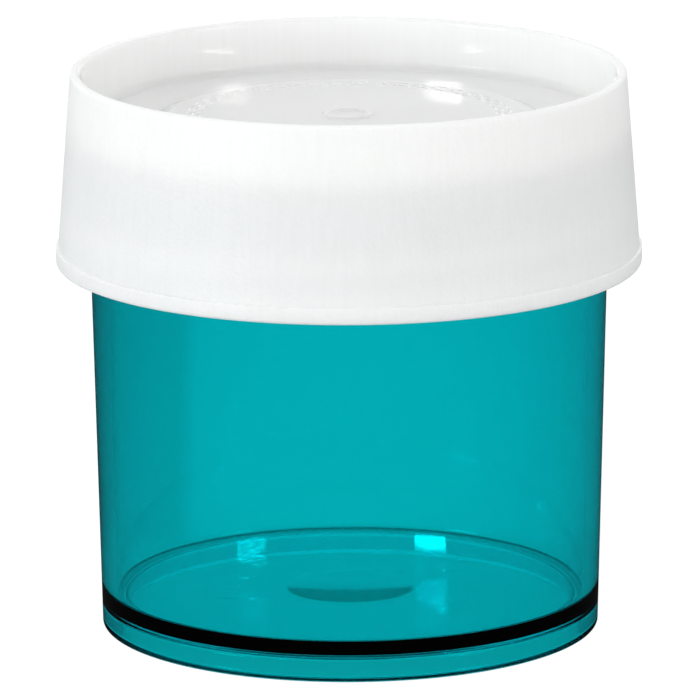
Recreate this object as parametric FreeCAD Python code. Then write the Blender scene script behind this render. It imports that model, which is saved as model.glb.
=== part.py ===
import FreeCAD, Part
import math
import os

# A small straight-sided jar with a screw lid: a clear tinted jar, a white lid with a sunk top, and the flat seal
# liner inside the lid. Millimetres, +Z up, the origin at the centre of the jar's foot, where it stands.

# ---- driving dimensions: the jar ----
FOOT_RADIUS = 29.8           # outside of the jar where it stands
SHOULDER_RADIUS = 30.87      # outside of the jar just under the lid
SHOULDER_HEIGHT = 44.7       # where the straight side ends and the neck begins
NECK_RADIUS = 30.6           # outside of the neck, at the root of its thread
RIM_HEIGHT = 58.5            # top of the jar, which the liner seals on
INSIDE_RADIUS_FLOOR = 28.0   # inside of the wall at the floor
INSIDE_RADIUS_RIM = 28.75    # inside of the wall at the rim
FLOOR_UNDERSIDE = 2.9        # the floor plate stands this far clear of the table
FLOOR_THICKNESS = 1.8
FLOOR_ROUNDING = 0.3         # where the wall meets the floor, inside
FOOT_RING_INNER_RADIUS = 27.4
PAD_RADIUS = 7.7             # round crowned pad in the middle of the floor's underside
PAD_MIDDLE_RADIUS = 3.5
PAD_DROP = 0.5               # how far the pad hangs below the plate in the middle
PAD_CROWN = 25.0             # rounding of the pad's face

# ---- driving dimensions: the lid ----
LID_TOP = 67.4
LID_BOTTOM = 44.2
LID_TOP_RADIUS = 33.1        # outside of the upstanding rim
LID_SKIRT_RADIUS = 34.85     # outside of the skirt at its bottom, inside the band
BAND_RADIUS = 35.0           # thin band round the bottom edge
BAND_HEIGHT = 2.0
RIM_WALL = 1.15              # thickness of the upstanding rim at its top
RECESS_RADIUS = 31.75        # inside of the upstanding rim at the recess floor
RECESS_FLOOR = 61.1
PANEL_RADIUS = 21.5          # raised middle of the recess floor
PANEL_RISE = 0.85
PANEL_RAMP = 2.0             # width of the slope up to the raised middle
PANEL_UNDERSIDE = 59.5
BORE_RADIUS_TOP = 32.3       # inside of the skirt at the liner
BORE_RADIUS_BOTTOM = 33.35   # inside of the skirt at its bottom edge
GATE_RING_RADIUS = 2.9       # small raised ring round a dimple in the middle of the lid
GATE_DIMPLE_RADIUS = 2.1
GATE_STEP = 0.3              # height of the ring over the panel
GATE_SLOPE = 0.3             # width of the ring's sloping sides

# ---- driving dimensions: the liner and the bead that holds it ----
LINER_RADIUS = 32.0
LINER_THICKNESS = PANEL_UNDERSIDE - RIM_HEIGHT
BEAD_INNER_RADIUS = 31.7
BEAD_HEIGHT = 0.9
BEAD_GAP = 0.2               # between the liner and the bead below it

# ---- driving dimensions: the thread ----
THREAD_LEAD = 25.4 / 6.0     # rise in one turn, six threads to the inch
THREAD_DEPTH_SLOPE = 0.43    # how far a flank leans along the axis for each millimetre of depth
JAR_CREST_RADIUS = 32.0
JAR_CREST_WIDTH = 1.0
LID_CREST_RADIUS = 31.0
LID_CREST_WIDTH = 0.9
FLANK_GAP = 0.25             # along the axis, between the flanks that pull the lid down
JAR_THREAD_START = 49.2      # height of the ridge's middle where it begins
JAR_THREAD_TURNS = 1.5
LID_THREAD_START_BACK = 0.35  # the lid's ridge begins this many turns before the jar's
LID_THREAD_TURNS = 1.5
RUN_OUT_ANGLE = 7.0          # degrees over which a ridge fades out at each end
EMBED = 0.4                  # how deep a ridge's foot goes into its wall


def rounded_outline(corners):
    """A closed wire in the XZ plane through corners of (radius, height, rounding)."""
    count = len(corners)
    starts = []
    ends = []
    edges = []
    for i, (radius, height, rounding) in enumerate(corners):
        corner = FreeCAD.Vector(radius, 0, height)
        before = FreeCAD.Vector(corners[i - 1][0], 0, corners[i - 1][1]) - corner
        after = FreeCAD.Vector(corners[(i + 1) % count][0], 0, corners[(i + 1) % count][1]) - corner
        if rounding == 0:
            starts.append(corner)
            ends.append(corner)
            continue
        before.normalize()
        after.normalize()
        half_angle = before.getAngle(after) / 2
        reach = rounding / math.tan(half_angle)
        inward = (before + after).normalize()
        middle = corner + inward * (rounding / math.sin(half_angle) - rounding)
        starts.append(corner + before * reach)
        ends.append(corner + after * reach)
        edges.append(Part.Arc(starts[-1], middle, ends[-1]).toShape())
    for i in range(count):
        a = ends[i]
        b = starts[(i + 1) % count]
        if a.distanceToPoint(b) > 1e-6:
            edges.append(Part.LineSegment(a, b).toShape())
    return Part.Wire(Part.__sortEdges__(edges))


def revolved(corners):
    """The solid that an outline sweeps when it goes once round the Z axis."""
    face = Part.Face(rounded_outline(corners))
    return face.revolve(FreeCAD.Vector(0, 0, 0), FreeCAD.Vector(0, 0, 1), 360)


def run_out_cutter(crest_radius, root_radius, angle, height, forward):
    """A block that slants off the end of a ridge, so that the ridge fades from its crest to its root."""
    outward = 1.0 if crest_radius > root_radius else -1.0
    margin = 0.8
    slant = RUN_OUT_ANGLE if forward else -RUN_OUT_ANGLE
    beyond = 2.0 if forward else -2.0
    plan = [
        (root_radius - outward * margin, angle),
        (crest_radius + outward * margin, angle - slant),
        (crest_radius + outward * margin, angle + beyond),
        (root_radius - outward * margin, angle + beyond),
    ]
    low = height - THREAD_LEAD / 2
    points = [
        FreeCAD.Vector(r * math.cos(math.radians(a)), r * math.sin(math.radians(a)), low) for r, a in plan
    ]
    face = Part.Face(Part.makePolygon(points + points[:1]))
    return face.extrude(FreeCAD.Vector(0, 0, THREAD_LEAD))


def thread_ridge(crest_radius, root_radius, crest_width, start_height, start_turns, turns):
    """A right-hand helical ridge, whose middle is at start_height, start_turns round from +X."""
    root_width = crest_width + 2 * THREAD_DEPTH_SLOPE * abs(root_radius - crest_radius)
    profile = Part.makePolygon([
        FreeCAD.Vector(root_radius, 0, -root_width / 2),
        FreeCAD.Vector(crest_radius, 0, -crest_width / 2),
        FreeCAD.Vector(crest_radius, 0, crest_width / 2),
        FreeCAD.Vector(root_radius, 0, root_width / 2),
        FreeCAD.Vector(root_radius, 0, -root_width / 2),
    ])
    spine = Part.Wire(Part.makeHelix(THREAD_LEAD, turns * THREAD_LEAD, crest_radius).Edges)
    sweep = Part.BRepOffsetAPI.MakePipeShell(spine)
    sweep.setFrenetMode(True)
    sweep.add(profile)
    sweep.build()
    sweep.makeSolid()
    ridge = sweep.shape()
    for angle, height, forward in [(0, 0, False), (360 * turns, turns * THREAD_LEAD, True)]:
        ridge = ridge.cut(run_out_cutter(crest_radius, root_radius, angle, height, forward))
    ridge.rotate(FreeCAD.Vector(0, 0, 0), FreeCAD.Vector(0, 0, 1), 360 * start_turns)
    ridge.translate(FreeCAD.Vector(0, 0, start_height))
    return ridge


def jar():
    """The jar: floor plate, foot ring, straight wall with a slight draft, neck and outside thread."""
    floor_top = FLOOR_UNDERSIDE + FLOOR_THICKNESS
    body = revolved([
        (0, FLOOR_UNDERSIDE - PAD_DROP, 0),
        (PAD_MIDDLE_RADIUS, FLOOR_UNDERSIDE - PAD_DROP, PAD_CROWN),
        (PAD_RADIUS, FLOOR_UNDERSIDE, 0),
        (FOOT_RING_INNER_RADIUS, FLOOR_UNDERSIDE, 0.9),
        (FOOT_RING_INNER_RADIUS, 0, 0.5),
        (FOOT_RADIUS, 0, 0.3),
        (SHOULDER_RADIUS, SHOULDER_HEIGHT, 0.15),
        (NECK_RADIUS, SHOULDER_HEIGHT + 0.5, 0),
        (NECK_RADIUS, RIM_HEIGHT, 0.5),
        (INSIDE_RADIUS_RIM, RIM_HEIGHT, 0.5),
        (INSIDE_RADIUS_FLOOR, floor_top, FLOOR_ROUNDING),
        (0, floor_top, 0),
    ])
    thread = thread_ridge(
        JAR_CREST_RADIUS, NECK_RADIUS - EMBED, JAR_CREST_WIDTH, JAR_THREAD_START, 0, JAR_THREAD_TURNS
    )
    return body.fuse(thread)


def lid_body():
    """The lid without its thread: skirt, band, upstanding rim, sunk top and the liner's bead."""
    band_top = LID_BOTTOM + BAND_HEIGHT
    panel_top = RECESS_FLOOR + PANEL_RISE
    skirt_slope = (LID_SKIRT_RADIUS - LID_TOP_RADIUS) / (LID_TOP - LID_BOTTOM)
    skirt_radius_at_band = LID_TOP_RADIUS + (LID_TOP - band_top) * skirt_slope
    bead_top = RIM_HEIGHT - BEAD_GAP
    bore_slope = (BORE_RADIUS_BOTTOM - BORE_RADIUS_TOP) / (PANEL_UNDERSIDE - LID_BOTTOM)
    bore_at_bead_top = BORE_RADIUS_TOP + (PANEL_UNDERSIDE - bead_top) * bore_slope
    bore_at_bead_foot = BORE_RADIUS_TOP + (PANEL_UNDERSIDE - bead_top + BEAD_HEIGHT) * bore_slope
    return revolved([
        (0, PANEL_UNDERSIDE + PANEL_RISE, 0),
        (PANEL_RADIUS - 0.8, PANEL_UNDERSIDE + PANEL_RISE, 0.5),
        (PANEL_RADIUS + PANEL_RAMP - 0.8, PANEL_UNDERSIDE, 0.5),
        (BORE_RADIUS_TOP, PANEL_UNDERSIDE, 0.2),
        (bore_at_bead_top, bead_top, 0),
        (BEAD_INNER_RADIUS, bead_top - BEAD_HEIGHT / 3, 0.15),
        (BEAD_INNER_RADIUS, bead_top - 2 * BEAD_HEIGHT / 3, 0.15),
        (bore_at_bead_foot, bead_top - BEAD_HEIGHT, 0),
        (BORE_RADIUS_BOTTOM, LID_BOTTOM, 0.3),
        (BAND_RADIUS, LID_BOTTOM, 0.45),
        (BAND_RADIUS, band_top, 0.05),
        (skirt_radius_at_band, band_top, 0),
        (LID_TOP_RADIUS, LID_TOP, 0.5),
        (LID_TOP_RADIUS - RIM_WALL, LID_TOP, 0.5),
        (RECESS_RADIUS, RECESS_FLOOR, 1.0),
        (PANEL_RADIUS + PANEL_RAMP, RECESS_FLOOR, 1.0),
        (PANEL_RADIUS, panel_top, 1.0),
        (GATE_RING_RADIUS + GATE_SLOPE, panel_top, 0.1),
        (GATE_RING_RADIUS, panel_top + GATE_STEP, 0.1),
        (GATE_DIMPLE_RADIUS + GATE_SLOPE, panel_top + GATE_STEP, 0.1),
        (GATE_DIMPLE_RADIUS, panel_top, 0.1),
        (0, panel_top, 0),
    ])


def lid():
    """The lid with its inside thread, which sits just under the jar's and pulls the lid down on the rim."""
    half_widths = (JAR_CREST_WIDTH + LID_CREST_WIDTH) / 2
    half_widths += THREAD_DEPTH_SLOPE * (JAR_CREST_RADIUS - LID_CREST_RADIUS)
    start_height = JAR_THREAD_START - half_widths - FLANK_GAP - LID_THREAD_START_BACK * THREAD_LEAD
    thread = thread_ridge(
        LID_CREST_RADIUS,
        BORE_RADIUS_BOTTOM + EMBED / 2,
        LID_CREST_WIDTH,
        start_height,
        -LID_THREAD_START_BACK,
        LID_THREAD_TURNS,
    )
    return lid_body().fuse(thread)


def seal_liner():
    """The flat foamed disc that the jar's rim presses on."""
    return revolved([
        (0, RIM_HEIGHT, 0),
        (LINER_RADIUS, RIM_HEIGHT, 0.15),
        (LINER_RADIUS, RIM_HEIGHT + LINER_THICKNESS, 0.15),
        (0, RIM_HEIGHT + LINER_THICKNESS, 0),
    ])


os.makedirs("parts", exist_ok=True)
for name, make in [("jar", jar), ("lid", lid), ("seal_liner", seal_liner)]:
    shape = make()
    shape.exportStep("parts/" + name + ".step")
    print(name, "valid", shape.isValid(), "solids", len(shape.Solids), "mm3", round(shape.Volume, 1))
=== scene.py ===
import math

import bmesh
import bpy
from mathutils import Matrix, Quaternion, Vector, noise


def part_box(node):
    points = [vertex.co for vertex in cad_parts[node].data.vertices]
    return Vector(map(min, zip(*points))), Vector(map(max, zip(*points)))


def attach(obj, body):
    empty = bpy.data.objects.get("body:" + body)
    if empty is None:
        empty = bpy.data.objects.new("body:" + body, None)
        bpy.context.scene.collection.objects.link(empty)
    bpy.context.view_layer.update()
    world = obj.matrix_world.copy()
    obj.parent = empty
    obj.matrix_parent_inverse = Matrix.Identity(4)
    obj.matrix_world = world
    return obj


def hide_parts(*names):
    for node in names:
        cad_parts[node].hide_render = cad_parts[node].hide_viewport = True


# A small straight-sided jar, clear and tinted teal, with a white screw lid and the seal liner inside the lid.
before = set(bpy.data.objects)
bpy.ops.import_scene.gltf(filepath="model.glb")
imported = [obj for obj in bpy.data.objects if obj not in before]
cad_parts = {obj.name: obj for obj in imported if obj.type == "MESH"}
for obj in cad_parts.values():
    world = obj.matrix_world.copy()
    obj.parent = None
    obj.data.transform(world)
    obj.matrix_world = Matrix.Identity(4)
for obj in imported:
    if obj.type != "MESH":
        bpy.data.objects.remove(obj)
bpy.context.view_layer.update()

MM = 0.001

# ---- places taken from the frame ----
jar_low, jar_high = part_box("jar")
lid_low, lid_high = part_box("lid")
liner_low, liner_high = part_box("seal_liner")
RIM_HEIGHT = jar_high.z
LID_BOTTOM = lid_low.z
LID_TOP = lid_high.z
BAND_RADIUS = lid_high.x
LINER_RADIUS = liner_high.x
PANEL_UNDERSIDE = liner_high.z

# ---- the jar ----
FOOT_RADIUS = 29.8 * MM
SHOULDER_RADIUS = 30.87 * MM
SHOULDER_HEIGHT = LID_BOTTOM + 0.5 * MM
NECK_RADIUS = 30.6 * MM
INSIDE_RADIUS_FLOOR = 28.0 * MM
INSIDE_RADIUS_RIM = 28.75 * MM
FLOOR_UNDERSIDE = 2.9 * MM
FLOOR_TOP = 4.7 * MM
FLOOR_ROUNDING = 0.3 * MM
FOOT_RING_INNER_RADIUS = 27.4 * MM
PAD_RADIUS = 7.7 * MM
PAD_DROP = 0.5 * MM
JAR_RIM_ROUNDING = 0.5 * MM
NECK_MARGIN_LOW = 0.5 * MM
NECK_MARGIN_HIGH = 1.0 * MM
FLOOR_MARK_INNER = 12.0 * MM
FLOOR_MARK_OUTER = 18.5 * MM
FLOOR_MARK_HEIGHT = 0.02 * MM
FLOOR_MARK_GROUPS = 8
FLOOR_MARK_GRAIN = 0.55 / MM

# ---- the lid ----
LID_TOP_RADIUS = 33.1 * MM
LID_SKIRT_RADIUS = 34.85 * MM
BAND_HEIGHT = 2.0 * MM
RIM_WALL = 1.15 * MM
RECESS_RADIUS = 31.75 * MM
RECESS_FLOOR = LID_TOP - 6.3 * MM
PANEL_RADIUS = 21.5 * MM
PANEL_RISE = 0.85 * MM
PANEL_RAMP = 2.0 * MM
UNDERSIDE_INSET = 0.8 * MM
PANEL_UNDERSIDE_ROUNDING = 0.5 * MM
RECESS_ROUNDING = 1.0 * MM
RIM_ROUNDING = 0.5 * MM
BORE_RADIUS_TOP = 32.3 * MM
BORE_RADIUS_BOTTOM = 33.35 * MM
BEAD_INNER_RADIUS = 31.7 * MM
BEAD_HEIGHT = 0.9 * MM
BEAD_GAP = 0.2 * MM
GATE_RING_RADIUS = 2.9 * MM
GATE_DIMPLE_RADIUS = 2.1 * MM
GATE_STEP = 0.3 * MM
GATE_SLOPE = 0.3 * MM
LID_MARK_INNER = 17.4 * MM
LID_MARK_OUTER = 19.6 * MM
LID_MARK_HEIGHT = 0.14 * MM
LID_MARK_COUNT = 44
LID_MARK_PITCH = 0.75 * MM
LID_MARK_HALF_WIDTH = 0.16 * MM
LID_MARK_EDGE = 0.1 * MM
LID_MARK_STAGGER = 0.37
LID_MARK_UNEVENNESS = 0.6

# ---- the thread, right-handed ----
THREAD_LEAD = 25.4 / 6.0 * MM
JAR_CREST_RADIUS = 32.0 * MM
JAR_CREST_WIDTH = 1.0 * MM
JAR_THREAD_START = 49.2 * MM
LID_CREST_RADIUS = 31.0 * MM
LID_CREST_WIDTH = 0.9 * MM
THREAD_DEPTH_SLOPE = 0.43
FLANK_GAP = 0.25 * MM
LID_THREAD_START_BACK = 0.35
THREAD_TURNS = 1.5
RUN_OUT_TURNS = 0.05

# ---- how finely the meshes are drawn ----
COLUMNS = 288
ARC_STEP = math.radians(11)
SUPPORT = 0.35 * MM
THREAD_ROWS_PER_TURN = 44
WELD = 0.002 * MM
LID_MARK_SPACING = 0.06 * MM
FLOOR_MARK_SPACING = 0.25 * MM

# ---- the studio. The white surround seen directly has brightness 1 ----
STUDIO_FLOOR_HALF = 6.0
STUDIO_FLOOR_GAP = 0.05 * MM
FLOOR_GLOW_SEEN = 0.95
FLOOR_GLOW_MIRRORED = 0.012
FLOOR_GLOW_SENT_ON = 0.5
# Painted shadow: seen through the jar, the floor glows less under and near the jar than farther back.
FLOOR_GLOW_PAINTED_SHADOW_UNDER_JAR = 0.46
FLOOR_GLOW_BEHIND_JAR = 0.56
# Painted shade: seen through the jar, the floor behind it glows less on the far left.
FLOOR_GLOW_PAINTED_SHADE_BEHIND_LEFT = 0.37
FLOOR_COLOUR = 0.12
FLOOR_COLOUR_THROUGH = 0.52
SKY_SEEN = 1.0
SKY_THROUGH = 1.5
SKY_SENT_ON = 0.66
SKY_MIRRORED_FRONT = 0.04
SKY_MIRRORED_BACK = 0.9
SKY_BACK_STARTS = 0.6
WHITE = (1.0, 1.0, 1.0)
FOCUS = (0, 0, 0.045)
# name, place in metres, width and height, brightness, colour
LIGHTS = [
    ("key_left", (-2.6, -1.5, 0.30), (0.9, 0.5), 15.0, (0.92, 1.0, 1.0)),
    ("fill_right", (2.6, -1.5, 0.30), (0.9, 0.5), 10.0, (1.0, 1.0, 0.98)),
    ("lid_glint_left", (-2.02, -2.22, 0.8575), (0.9, 0.035), 130.0, WHITE),
    ("lid_glint_right", (2.36, -1.84, 0.8575), (0.9, 0.035), 45.0, WHITE),
    ("jar_glint_left", (-2.02, -2.22, 0.912), (0.9, 0.03), 4.0, WHITE),
    ("jar_glint_right", (2.32, -1.90, 0.912), (0.8, 0.03), 2.5, WHITE),
    ("front_soft", (-0.3, -1.8, 1.6), (1.0, 0.8), 2.0, WHITE),
    ("top_soft", (0, 0.3, 1.6), (0.8, 0.8), 1.0, WHITE),
    ("back_soft", (0.2, 1.6, 1.2), (1.2, 0.6), 1.0, WHITE),
]
LIGHT_BOUNCES = 24
INDIRECT_LIMIT = 120.0

# ---- the camera ----
SENSOR_WIDTH = 36.0
LENS = 464.5
LENS_SHIFT = (0.001, -0.0335)
CAMERA_TARGET = (0, 0, 0.036)
CAMERA_DISTANCE = 1.081
CAMERA_ELEVATION = math.radians(13.09)
CAMERA_ROLL = math.radians(-0.223)


def smooth_step(low, high, value):
    """0 below low, 1 above high, and an even curve between them."""
    t = min(max((value - low) / (high - low), 0.0), 1.0)
    return t * t * (3 - 2 * t)


def rounded(corners):
    """An open outline of (radius, height), with its bends rounded, from (radius, height, rounding)."""
    points = [(corners[0][0], corners[0][1])]
    for before, corner, after in zip(corners, corners[1:], corners[2:]):
        middle = Vector(corner[:2])
        if corner[2] == 0:
            points.append(tuple(middle))
            continue
        back = (Vector(before[:2]) - middle).normalized()
        ahead = (Vector(after[:2]) - middle).normalized()
        half_angle = back.angle(ahead) / 2
        reach = corner[2] / math.tan(half_angle)
        centre = middle + (back + ahead).normalized() * (corner[2] / math.sin(half_angle))
        start = middle + back * reach - centre
        turn = start.angle_signed(middle + ahead * reach - centre)
        steps = max(2, math.ceil(abs(turn) / ARC_STEP))
        for i in range(steps + 1):
            angle = -turn * i / steps
            across = start.x * math.cos(angle) - start.y * math.sin(angle)
            up = start.x * math.sin(angle) + start.y * math.cos(angle)
            points.append((centre.x + across, centre.y + up))
    points.append((corners[-1][0], corners[-1][1]))
    return points


def supported(outline):
    """The outline with a point near each end of its long runs, so that smooth shading keeps them flat."""
    result = [outline[0]]
    for a, b in zip(outline, outline[1:]):
        run = Vector(b) - Vector(a)
        if run.length > 3 * SUPPORT:
            result.append(tuple(Vector(a) + run.normalized() * SUPPORT))
            result.append(tuple(Vector(b) - run.normalized() * SUPPORT))
        result.append(b)
    return result


class Turned:
    """A closed mesh turned about the Z axis, welded from plain strips and threaded strips."""

    def __init__(self):
        self.points = []
        self.faces = []
        self.known = {}

    def point(self, radius, turn, height):
        angle = 2 * math.pi * turn
        place = (radius * math.cos(angle), radius * math.sin(angle), height)
        key = tuple(round(x / WELD) for x in place)
        if key not in self.known:
            self.known[key] = len(self.points)
            self.points.append(place)
        return self.known[key]

    def face(self, corners):
        ring = [c for i, c in enumerate(corners) if c != corners[i - 1]]
        if len(set(ring)) > 2:
            self.faces.append(ring)

    def strip(self, outline, lift=None):
        """Faces between rings at the outline's points. lift(radius, turn) raises a point along Z."""
        rings = []
        for radius, height in outline:
            turns = [j / COLUMNS for j in range(COLUMNS)]
            rings.append([
                self.point(radius, t, height + (lift(radius, t) if lift else 0.0)) for t in turns
            ])
        for lower, upper in zip(rings, rings[1:]):
            for j in range(COLUMNS):
                k = (j + 1) % COLUMNS
                self.face([lower[j], lower[k], upper[k], upper[j]])

    def threaded(self, low, high, wall, ridge):
        """A wall from low to high whose rows climb with the thread. ridge(turn, height) gives its radius."""
        step = THREAD_LEAD / THREAD_ROWS_PER_TURN
        rows = math.ceil((high - low) / step) + THREAD_ROWS_PER_TURN
        columns = []
        for j in range(COLUMNS):
            turn = j / COLUMNS
            heights = [low + k * step + (turn - 1) * THREAD_LEAD for k in range(rows + 1)]
            heights = [min(max(h, low), high) for h in heights]
            ends = (low, high)
            columns.append([
                self.point(wall(h) if h in ends else ridge(turn, h), turn, h) for h in heights
            ])
        for j in range(COLUMNS):
            shift = THREAD_ROWS_PER_TURN if j == COLUMNS - 1 else 0
            here = columns[j]
            there = columns[(j + 1) % COLUMNS]
            for k in range(rows):
                a = there[min(k + shift, rows)]
                b = there[min(k + 1 + shift, rows)]
                self.face([here[k], a, b, here[k + 1]])

    def build(self, name, material):
        mesh = bpy.data.meshes.new(name)
        mesh.from_pydata(self.points, [], self.faces)
        shape = bmesh.new()
        shape.from_mesh(mesh)
        bmesh.ops.recalc_face_normals(shape, faces=shape.faces)
        for f in shape.faces:
            f.smooth = True
        shape.to_mesh(mesh)
        shape.free()
        mesh.materials.append(material)
        piece = bpy.data.objects.new(name, mesh)
        bpy.context.scene.collection.objects.link(piece)
        return piece


def thread_surface(wall, crest_radius, crest_width, start_height, start_turn):
    """The radius of a threaded wall at (turn, height): the wall's own, or the ridge's where there is one."""
    def radius(turn, height):
        root = wall(height)
        flank = THREAD_DEPTH_SLOPE * abs(crest_radius - root)
        best = 0.0
        for whole in range(-1, 3):
            along = turn + whole - start_turn
            centre = start_height + along * THREAD_LEAD
            fade = smooth_step(0, RUN_OUT_TURNS, along) * smooth_step(0, RUN_OUT_TURNS, THREAD_TURNS - along)
            across = abs(height - centre)
            share = 1 - smooth_step(crest_width / 2, crest_width / 2 + flank, across)
            best = max(best, fade * share)
        return root + (crest_radius - root) * best
    return radius


def mark_ring(inner, outer, height, count):
    """Moulded marks: rings of fine raised lines, broken into short dashes, as a lift over (radius, turn)."""
    narrow = LID_MARK_HALF_WIDTH - LID_MARK_EDGE
    wide = LID_MARK_HALF_WIDTH + LID_MARK_EDGE

    def lift(radius, turn):
        if not inner < radius < outer:
            return 0.0
        line = int((radius - inner) / LID_MARK_PITCH)
        off_line = abs((radius - inner) / LID_MARK_PITCH - line - 0.5) * LID_MARK_PITCH
        across = 1 - smooth_step(narrow, wide, off_line)
        place = turn * count + LID_MARK_STAGGER * line
        long_wave = math.sin(2 * math.pi * (0.5 * place + 0.3 * line))
        dash = math.sin(2 * math.pi * place) + LID_MARK_UNEVENNESS * long_wave
        return height * across * smooth_step(-0.1, 0.1, dash)
    return lift


def soft_marks(inner, outer, height):
    """Worn, shallow marks in groups round a ring, as a lift over (radius, turn)."""
    def lift(radius, turn):
        angle = 2 * math.pi * turn
        across = math.sin(math.pi * (radius - inner) / (outer - inner))
        wave = math.sin(FLOOR_MARK_GROUPS * angle + 5 * math.sin(2 * angle))
        group = smooth_step(0.1, 0.9, wave)
        place = Vector((radius * math.cos(angle), radius * math.sin(angle), 0)) * FLOOR_MARK_GRAIN
        return height * across * group * noise.fractal(place, 1.0, 2.0, 2)
    return lift


def fine_rings(inner, outer, height, spacing):
    """Outline points from the inner radius to the outer one, close enough together to hold moulded marks."""
    steps = math.ceil((outer - inner) / spacing)
    return [(inner + (outer - inner) * i / steps, height) for i in range(steps + 1)]


def bulge(radius, height, drop, steps=24):
    """Outline points across a round face that hangs below its edge by drop in the middle."""
    return [
        (radius * i / steps, height - drop * (1 - (i / steps) ** 2)) for i in range(steps + 1)
    ]


def jar_side(height):
    """The neck's radius, the same all the way up."""
    return NECK_RADIUS


def lid_bore(height):
    """The inside radius of the lid's skirt, which widens downwards."""
    share = (PANEL_UNDERSIDE - height) / (PANEL_UNDERSIDE - LID_BOTTOM)
    return BORE_RADIUS_TOP + (BORE_RADIUS_BOTTOM - BORE_RADIUS_TOP) * share


def make_jar(material):
    jar = Turned()
    neck_foot = SHOULDER_HEIGHT + NECK_MARGIN_LOW
    neck_top = RIM_HEIGHT - NECK_MARGIN_HIGH
    pad = bulge(PAD_RADIUS, FLOOR_UNDERSIDE, PAD_DROP)
    outside = rounded([
        pad[-1] + (0,),
        (FOOT_RING_INNER_RADIUS, FLOOR_UNDERSIDE, 0.9 * MM),
        (FOOT_RING_INNER_RADIUS, 0, 0.5 * MM),
        (FOOT_RADIUS, 0, 0.3 * MM),
        (SHOULDER_RADIUS, SHOULDER_HEIGHT, 0.15 * MM),
        (NECK_RADIUS, neck_foot, 0),
    ])
    inside = rounded([
        (NECK_RADIUS, neck_top, 0),
        (NECK_RADIUS, RIM_HEIGHT, JAR_RIM_ROUNDING),
        (INSIDE_RADIUS_RIM, RIM_HEIGHT, JAR_RIM_ROUNDING),
        (INSIDE_RADIUS_FLOOR, FLOOR_TOP, FLOOR_ROUNDING),
        (FLOOR_MARK_OUTER, FLOOR_TOP, 0),
    ])
    jar.strip(pad)
    jar.strip(supported(outside))
    jar.threaded(
        neck_foot, neck_top, jar_side,
        thread_surface(jar_side, JAR_CREST_RADIUS, JAR_CREST_WIDTH, JAR_THREAD_START, 0.0),
    )
    jar.strip(supported(inside))
    marks = soft_marks(FLOOR_MARK_INNER, FLOOR_MARK_OUTER, FLOOR_MARK_HEIGHT)
    jar.strip(fine_rings(FLOOR_MARK_INNER, FLOOR_MARK_OUTER, FLOOR_TOP, FLOOR_MARK_SPACING), marks)
    jar.strip([(FLOOR_MARK_INNER, FLOOR_TOP), (FLOOR_MARK_INNER / 2, FLOOR_TOP), (0, FLOOR_TOP)])
    return jar.build("jar_body", material)


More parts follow.
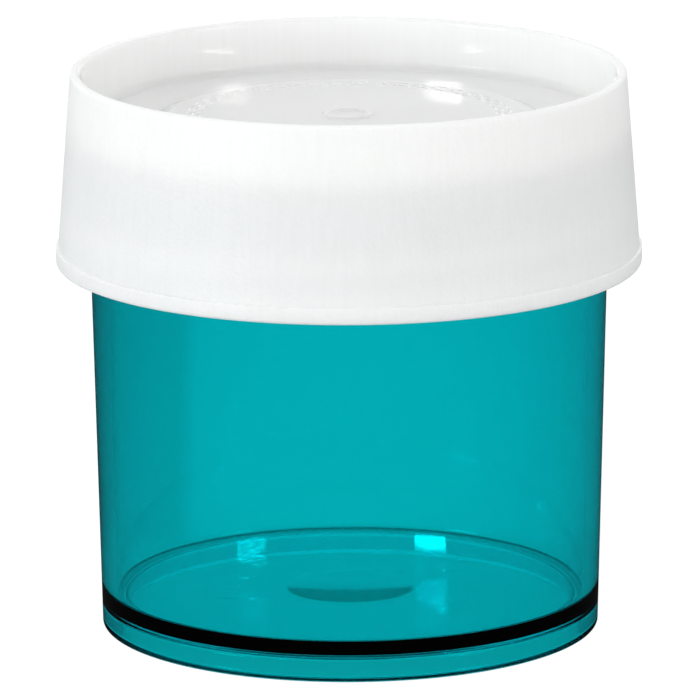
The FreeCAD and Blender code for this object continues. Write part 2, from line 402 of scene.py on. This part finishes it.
def make_lid(material):
    lid = Turned()
    band_top = LID_BOTTOM + BAND_HEIGHT
    panel_top = RECESS_FLOOR + PANEL_RISE
    skirt_slope = (LID_SKIRT_RADIUS - LID_TOP_RADIUS) / (LID_TOP - LID_BOTTOM)
    skirt_at_band = LID_TOP_RADIUS + (LID_TOP - band_top) * skirt_slope
    bead_top = RIM_HEIGHT - BEAD_GAP
    bead_foot = bead_top - BEAD_HEIGHT
    thread_top = bead_foot - 0.3 * MM
    thread_foot = LID_BOTTOM + 0.4 * MM
    inside = rounded([
        (0, PANEL_UNDERSIDE + PANEL_RISE, 0),
        (PANEL_RADIUS - UNDERSIDE_INSET, PANEL_UNDERSIDE + PANEL_RISE, PANEL_UNDERSIDE_ROUNDING),
        (PANEL_RADIUS + PANEL_RAMP - UNDERSIDE_INSET, PANEL_UNDERSIDE, PANEL_UNDERSIDE_ROUNDING),
        (BORE_RADIUS_TOP, PANEL_UNDERSIDE, 0.2 * MM),
        (lid_bore(bead_top), bead_top, 0),
        (BEAD_INNER_RADIUS, bead_top - BEAD_HEIGHT / 3, 0.15 * MM),
        (BEAD_INNER_RADIUS, bead_top - BEAD_HEIGHT * 2 / 3, 0.15 * MM),
        (lid_bore(bead_foot), bead_foot, 0),
        (lid_bore(thread_top), thread_top, 0),
    ])
    half_widths = (JAR_CREST_WIDTH + LID_CREST_WIDTH) / 2
    half_widths += THREAD_DEPTH_SLOPE * (JAR_CREST_RADIUS - LID_CREST_RADIUS)
    start_height = JAR_THREAD_START - half_widths - FLANK_GAP - LID_THREAD_START_BACK * THREAD_LEAD
    outside = rounded([
        (lid_bore(thread_foot), thread_foot, 0),
        (BORE_RADIUS_BOTTOM, LID_BOTTOM, 0.3 * MM),
        (BAND_RADIUS, LID_BOTTOM, 0.45 * MM),
        (BAND_RADIUS, band_top, 0.05 * MM),
        (skirt_at_band, band_top, 0.03 * MM),
        (LID_TOP_RADIUS, LID_TOP, RIM_ROUNDING),
        (LID_TOP_RADIUS - RIM_WALL, LID_TOP, RIM_ROUNDING),
        (RECESS_RADIUS, RECESS_FLOOR, RECESS_ROUNDING),
        (PANEL_RADIUS + PANEL_RAMP, RECESS_FLOOR, RECESS_ROUNDING),
        (PANEL_RADIUS, panel_top, RECESS_ROUNDING),
        (LID_MARK_OUTER, panel_top, 0),
    ])
    centre = rounded([
        (LID_MARK_INNER, panel_top, 0),
        (GATE_RING_RADIUS + GATE_SLOPE, panel_top, 0.1 * MM),
        (GATE_RING_RADIUS, panel_top + GATE_STEP, 0.1 * MM),
        (GATE_DIMPLE_RADIUS + GATE_SLOPE, panel_top + GATE_STEP, 0.1 * MM),
        (GATE_DIMPLE_RADIUS, panel_top, 0.1 * MM),
        (0, panel_top, 0),
    ])
    lid.strip(supported(inside))
    lid.threaded(
        thread_foot, thread_top, lid_bore,
        thread_surface(lid_bore, LID_CREST_RADIUS, LID_CREST_WIDTH, start_height, -LID_THREAD_START_BACK),
    )
    lid.strip(supported(outside))
    marks = mark_ring(LID_MARK_INNER, LID_MARK_OUTER, LID_MARK_HEIGHT, LID_MARK_COUNT)
    lid.strip(fine_rings(LID_MARK_INNER, LID_MARK_OUTER, panel_top, LID_MARK_SPACING), marks)
    lid.strip(supported(centre))
    return lid.build("screw_lid", material)


def make_liner(material):
    liner = Turned()
    low, high = liner_low.z, liner_high.z
    outline = rounded([
        (0, low, 0),
        (LINER_RADIUS, low, 0.2 * MM),
        (LINER_RADIUS, high, 0.2 * MM),
        (0, high, 0),
    ])
    liner.strip(supported(outline))
    return liner.build("foam_liner", material)


# ---- materials ----
def new_material(name):
    """A material with a Principled shader, and the links that its own function adds."""
    material = bpy.data.materials.new(name)
    material.use_nodes = True
    tree = material.node_tree
    return material, tree, tree.nodes["Principled BSDF"]


def add(tree, kind, **settings):
    """A node of that kind. Settings named in_X set input X, and the others are the node's own."""
    node = tree.nodes.new(kind)
    for key, value in settings.items():
        if key.startswith("in_"):
            node.inputs[key[3:]].default_value = value
        else:
            setattr(node, key, value)
    return node


def jar_material():
    material, tree, shader = new_material("teal_clear_plastic")
    shader.inputs["Base Color"].default_value = (1, 1, 1, 1)
    shader.inputs["Transmission Weight"].default_value = 1.0
    shader.inputs["IOR"].default_value = 1.585
    where = add(tree, "ShaderNodeTexCoord")
    haze = add(tree, "ShaderNodeTexNoise", in_Scale=90.0, in_Detail=4.0)
    rough = add(tree, "ShaderNodeMapRange")
    rough.inputs["To Min"].default_value = 0.0
    rough.inputs["To Max"].default_value = 0.03
    tree.links.new(where.outputs["Object"], haze.inputs["Vector"])
    tree.links.new(haze.outputs["Fac"], rough.inputs["Value"])
    tree.links.new(rough.outputs["Result"], shader.inputs["Roughness"])
    waves = add(tree, "ShaderNodeTexNoise", in_Scale=55.0, in_Detail=1.0)
    bump = add(tree, "ShaderNodeBump", in_Strength=0.05, in_Distance=0.001)
    tree.links.new(where.outputs["Object"], waves.inputs["Vector"])
    tree.links.new(waves.outputs["Fac"], bump.inputs["Height"])
    tree.links.new(bump.outputs["Normal"], shader.inputs["Normal"])
    tint = add(tree, "ShaderNodeVolumeAbsorption", in_Color=(0.0, 0.922, 0.932, 1), in_Density=2400.0)
    tree.links.new(tint.outputs["Volume"], tree.nodes["Material Output"].inputs["Volume"])
    return material


def lid_material():
    """Milky moulded plastic: glossy inside the top's recess, and finely stippled on the skirt."""
    material, tree, shader = new_material("white_lid_plastic")
    shader.inputs["Subsurface Weight"].default_value = 1.0
    shader.inputs["Subsurface Radius"].default_value = (1.0, 1.0, 0.95)
    shader.inputs["Subsurface Scale"].default_value = 0.0025
    shader.inputs["IOR"].default_value = 1.49
    where = add(tree, "ShaderNodeTexCoord")
    parts = add(tree, "ShaderNodeSeparateXYZ")
    flat = add(tree, "ShaderNodeCombineXYZ")
    radius = add(tree, "ShaderNodeVectorMath", operation="LENGTH")
    tree.links.new(where.outputs["Object"], parts.inputs["Vector"])
    tree.links.new(parts.outputs["X"], flat.inputs["X"])
    tree.links.new(parts.outputs["Y"], flat.inputs["Y"])
    tree.links.new(flat.outputs["Vector"], radius.inputs[0])
    skirt = add(tree, "ShaderNodeMapRange", interpolation_type="SMOOTHSTEP")
    skirt.inputs["From Min"].default_value = RECESS_RADIUS
    skirt.inputs["From Max"].default_value = LID_TOP_RADIUS
    tree.links.new(radius.outputs["Value"], skirt.inputs["Value"])
    rough = add(tree, "ShaderNodeMapRange")
    rough.inputs["To Min"].default_value = 0.06
    rough.inputs["To Max"].default_value = 0.5
    tree.links.new(skirt.outputs["Result"], rough.inputs["Value"])
    tree.links.new(rough.outputs["Result"], shader.inputs["Roughness"])

    streaks = add(tree, "ShaderNodeMapping")
    streaks.inputs["Scale"].default_value = (1800.0, 1800.0, 90.0)
    streaky = add(tree, "ShaderNodeTexNoise", in_Scale=1.0, in_Detail=2.0)
    cloudy = add(tree, "ShaderNodeTexNoise", in_Scale=60.0, in_Detail=2.0)
    blend = add(tree, "ShaderNodeMix", data_type="FLOAT")
    blend.inputs[0].default_value = 0.5
    colour = add(tree, "ShaderNodeValToRGB")
    colour.color_ramp.elements[0].position = 0.3
    colour.color_ramp.elements[0].color = (0.865, 0.87, 0.86, 1)
    colour.color_ramp.elements[1].position = 0.7
    colour.color_ramp.elements[1].color = (0.90, 0.905, 0.90, 1)
    tree.links.new(where.outputs["Object"], streaks.inputs["Vector"])
    tree.links.new(streaks.outputs["Vector"], streaky.inputs["Vector"])
    tree.links.new(where.outputs["Object"], cloudy.inputs["Vector"])
    tree.links.new(streaky.outputs["Fac"], blend.inputs[2])
    tree.links.new(cloudy.outputs["Fac"], blend.inputs[3])
    tree.links.new(blend.outputs[0], colour.inputs["Fac"])
    tree.links.new(colour.outputs["Color"], shader.inputs["Base Color"])

    stipple = add(tree, "ShaderNodeTexNoise", in_Scale=2200.0, in_Detail=3.0)
    bump = add(tree, "ShaderNodeBump", in_Distance=0.0002)
    strength = add(tree, "ShaderNodeMath", operation="MULTIPLY")
    strength.inputs[1].default_value = 0.4
    tree.links.new(skirt.outputs["Result"], strength.inputs[0])
    tree.links.new(strength.outputs["Value"], bump.inputs["Strength"])
    tree.links.new(where.outputs["Object"], stipple.inputs["Vector"])
    tree.links.new(stipple.outputs["Fac"], bump.inputs["Height"])
    tree.links.new(bump.outputs["Normal"], shader.inputs["Normal"])
    return material


def liner_material():
    material, tree, shader = new_material("white_foam")
    shader.inputs["Base Color"].default_value = (0.84, 0.84, 0.81, 1)
    shader.inputs["Roughness"].default_value = 0.7
    where = add(tree, "ShaderNodeTexCoord")
    cells = add(tree, "ShaderNodeTexVoronoi", in_Scale=1800.0)
    bump = add(tree, "ShaderNodeBump", in_Strength=0.3, in_Distance=0.0001)
    tree.links.new(where.outputs["Object"], cells.inputs["Vector"])
    tree.links.new(cells.outputs["Distance"], bump.inputs["Height"])
    tree.links.new(bump.outputs["Normal"], shader.inputs["Normal"])
    return material


# ---- the studio ----
def split_by_ray(tree, seen, through, mirrored, sent_on):
    """A colour socket with one colour seen directly, and others seen through clear plastic, seen in a mirror
    reflection, and sent on as light to matt surfaces."""
    path = add(tree, "ShaderNodeLightPath")
    result = seen
    for output, colour in [
        ("Is Transmission Ray", through),
        ("Is Reflection Ray", mirrored),
        ("Is Diffuse Ray", sent_on),
    ]:
        mix = add(tree, "ShaderNodeMix", data_type="RGBA")
        for socket, value in [(mix.inputs["A"], result), (mix.inputs["B"], colour)]:
            if isinstance(value, bpy.types.NodeSocket):
                tree.links.new(value, socket)
            else:
                socket.default_value = value
        tree.links.new(path.outputs[output], mix.inputs["Factor"])
        result = mix.outputs["Result"]
    return result


def grey(value):
    return (value, value, value, 1)


def make_floor():
    """A pale matt sweep that glows a little. Seen through the jar its glow is dimmer, a painted shadow under
    and near the jar, and dimmer still on the far left behind it, painted shade.
    """
    material, tree, shader = new_material("studio_floor")
    where = add(tree, "ShaderNodeTexCoord")
    parts = add(tree, "ShaderNodeSeparateXYZ")
    tree.links.new(where.outputs["Object"], parts.inputs["Vector"])
    # Painted shade: the glow seen through the jar drops to a lower level on the far left behind the jar.
    across = add(tree, "ShaderNodeVectorMath", operation="DOT_PRODUCT")
    across.inputs[1].default_value = (1.0, 0.077, 0.0)
    tree.links.new(where.outputs["Object"], across.inputs[0])
    left = add(tree, "ShaderNodeMapRange", interpolation_type="SMOOTHSTEP")
    left.inputs["From Min"].default_value = -23 * MM
    left.inputs["From Max"].default_value = -17 * MM
    left.inputs["To Min"].default_value = FLOOR_GLOW_PAINTED_SHADE_BEHIND_LEFT
    left.inputs["To Max"].default_value = FLOOR_GLOW_BEHIND_JAR
    tree.links.new(across.outputs["Value"], left.inputs["Value"])
    # Painted shadow: seen through the jar, the glow is lower under the jar and up to 30 mm behind its centre,
    # rising farther back.
    behind = add(tree, "ShaderNodeMapRange", interpolation_type="SMOOTHSTEP")
    behind.inputs["From Min"].default_value = 30 * MM
    behind.inputs["From Max"].default_value = 50 * MM
    tree.links.new(parts.outputs["Y"], behind.inputs["Value"])
    through = add(tree, "ShaderNodeMix", data_type="FLOAT")
    through.inputs[2].default_value = FLOOR_GLOW_PAINTED_SHADOW_UNDER_JAR
    tree.links.new(behind.outputs["Result"], through.inputs[0])
    tree.links.new(left.outputs["Result"], through.inputs[3])
    glow = split_by_ray(
        tree, grey(FLOOR_GLOW_SEEN), through.outputs[0], grey(FLOOR_GLOW_MIRRORED), grey(FLOOR_GLOW_SENT_ON)
    )
    tree.links.new(glow, shader.inputs["Emission Color"])
    shader.inputs["Emission Strength"].default_value = 1.0
    matt = split_by_ray(tree, grey(FLOOR_COLOUR), grey(FLOOR_COLOUR_THROUGH), grey(0.0), grey(FLOOR_COLOUR))
    tree.links.new(matt, shader.inputs["Base Color"])
    shader.inputs["Roughness"].default_value = 0.9
    shader.inputs["Specular IOR Level"].default_value = 0.0
    mesh = bpy.data.meshes.new("studio_floor")
    corners = [
        (x * STUDIO_FLOOR_HALF, y * STUDIO_FLOOR_HALF, -STUDIO_FLOOR_GAP)
        for x, y in [(-1, -1), (1, -1), (1, 1), (-1, 1)]
    ]
    mesh.from_pydata(corners, [], [(0, 1, 2, 3)])
    mesh.materials.append(material)
    floor = bpy.data.objects.new("studio_floor", mesh)
    bpy.context.scene.collection.objects.link(floor)


def make_light(name, place, size, brightness, colour):
    """A rectangular light aimed at the object, whose face has the given brightness."""
    light = bpy.data.lights.new(name, "AREA")
    light.shape = "RECTANGLE"
    light.size, light.size_y = size
    light.energy = brightness * math.pi * size[0] * size[1]
    light.color = colour
    holder = bpy.data.objects.new(name, light)
    holder.location = place
    holder.rotation_mode = "QUATERNION"
    holder.rotation_quaternion = (Vector(FOCUS) - Vector(place)).to_track_quat("-Z", "Y")
    holder.visible_camera = False
    bpy.context.scene.collection.objects.link(holder)


def make_camera():
    """A long lens a metre off, about 13 degrees above the level, with the object filling the view."""
    data = bpy.data.cameras.new("camera")
    data.sensor_width = SENSOR_WIDTH
    data.lens = LENS
    data.shift_x, data.shift_y = LENS_SHIFT
    data.clip_start = 0.05
    data.clip_end = 20.0
    camera = bpy.data.objects.new("camera", data)
    target = Vector(CAMERA_TARGET)
    outward = Vector((0, -math.cos(CAMERA_ELEVATION), math.sin(CAMERA_ELEVATION)))
    camera.location = target + outward * CAMERA_DISTANCE
    camera.rotation_mode = "QUATERNION"
    roll = Quaternion((0, 0, 1), CAMERA_ROLL)
    camera.rotation_quaternion = (target - camera.location).to_track_quat("-Z", "Y") @ roll
    bpy.context.scene.collection.objects.link(camera)
    bpy.context.scene.camera = camera


def make_world():
    """A white surround, whose reflections are dark in front of the object and bright behind it."""
    world = bpy.data.worlds.new("studio")
    world.use_nodes = True
    tree = world.node_tree
    where = add(tree, "ShaderNodeTexCoord")
    parts = add(tree, "ShaderNodeSeparateXYZ")
    mirrored = add(tree, "ShaderNodeMapRange", interpolation_type="SMOOTHSTEP")
    mirrored.inputs["From Min"].default_value = 0.0
    mirrored.inputs["From Max"].default_value = SKY_BACK_STARTS
    mirrored.inputs["To Min"].default_value = SKY_MIRRORED_FRONT
    mirrored.inputs["To Max"].default_value = SKY_MIRRORED_BACK
    tree.links.new(where.outputs["Generated"], parts.inputs["Vector"])
    tree.links.new(parts.outputs["Y"], mirrored.inputs["Value"])
    glow = split_by_ray(
        tree, grey(SKY_SEEN), grey(SKY_THROUGH), mirrored.outputs["Result"], grey(SKY_SENT_ON)
    )
    tree.links.new(glow, tree.nodes["Background"].inputs["Color"])
    bpy.context.scene.world = world


jar = make_jar(jar_material())
lid = make_lid(lid_material())
liner = make_liner(liner_material())
for piece, node, slot in [
    (jar, "jar", "jar_plastic"),
    (lid, "lid", "lid_plastic"),
    (liner, "seal_liner", "liner_foam"),
]:
    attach(piece, node)
    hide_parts(node)

make_floor()
make_world()
make_camera()
for light in LIGHTS:
    make_light(*light)

scene = bpy.context.scene
scene.view_settings.view_transform = "Standard"
scene.cycles.max_bounces = LIGHT_BOUNCES
scene.cycles.transmission_bounces = LIGHT_BOUNCES
scene.cycles.sample_clamp_indirect = INDIRECT_LIMIT
